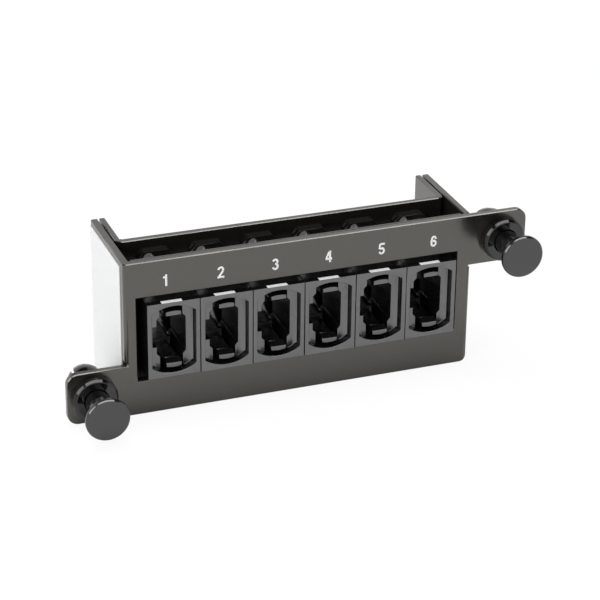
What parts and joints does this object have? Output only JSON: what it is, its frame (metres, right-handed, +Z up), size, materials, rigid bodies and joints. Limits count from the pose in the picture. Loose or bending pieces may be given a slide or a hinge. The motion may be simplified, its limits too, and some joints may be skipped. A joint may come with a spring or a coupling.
{
  "type": "fibre cassette",
  "caption": "Folded black steel cassette with a row of multi-fibre adapters in its front, open through to the back, and two push-pull latches on offset ears.",
  "frame": {"origin": "middle of the whole cassette seen from above, at the level of its bottom edges", "axes": "+X to the right along the front, +Y from the front to the back, +Z up"},
  "size_m": [0.084, 0.0316, 0.0285],
  "materials": {
    "black_paint": "glossy black powder coat",
    "black_moulding": "fine matte black moulding",
    "spring_steel": "bright rolled spring steel",
    "black_nylon": "glossy black nylon",
    "black_knob": "glossy black moulding",
    "white_film": "blank matte white label film"
  },
  "bodies": {
    "root": {"outer_shell": "black_paint", "window_plate": "black_paint", "rear_bracket": "black_paint", "adapter_1_front": "black_moulding", "adapter_1_rear": "black_moulding", "adapter_1_clip": "spring_steel", "adapter_2_front": "black_moulding", "adapter_2_rear": "black_moulding", "adapter_2_clip": "spring_steel", "adapter_3_front": "black_moulding", "adapter_3_rear": "black_moulding", "adapter_3_clip": "spring_steel", "adapter_4_front": "black_moulding", "adapter_4_rear": "black_moulding", "adapter_4_clip": "spring_steel", "adapter_5_front": "black_moulding", "adapter_5_rear": "black_moulding", "adapter_5_clip": "spring_steel", "adapter_6_front": "black_moulding", "adapter_6_rear": "black_moulding", "adapter_6_clip": "spring_steel", "left_grommet": "black_nylon", "right_grommet": "black_nylon", "side_label": "white_film"},
    "left_plunger": {"left_plunger": "black_knob"},
    "right_plunger": {"right_plunger": "black_knob"}
  },
  "joints": [
    {"name": "left_plunger_slide", "type": "slide", "parent": "root", "child": "left_plunger", "axis": [0, 1, 0], "range_m": [0, 0.0055]},
    {"name": "right_plunger_slide", "type": "slide", "parent": "root", "child": "right_plunger", "axis": [0, 1, 0], "range_m": [0, 0.0055]}
  ]
}
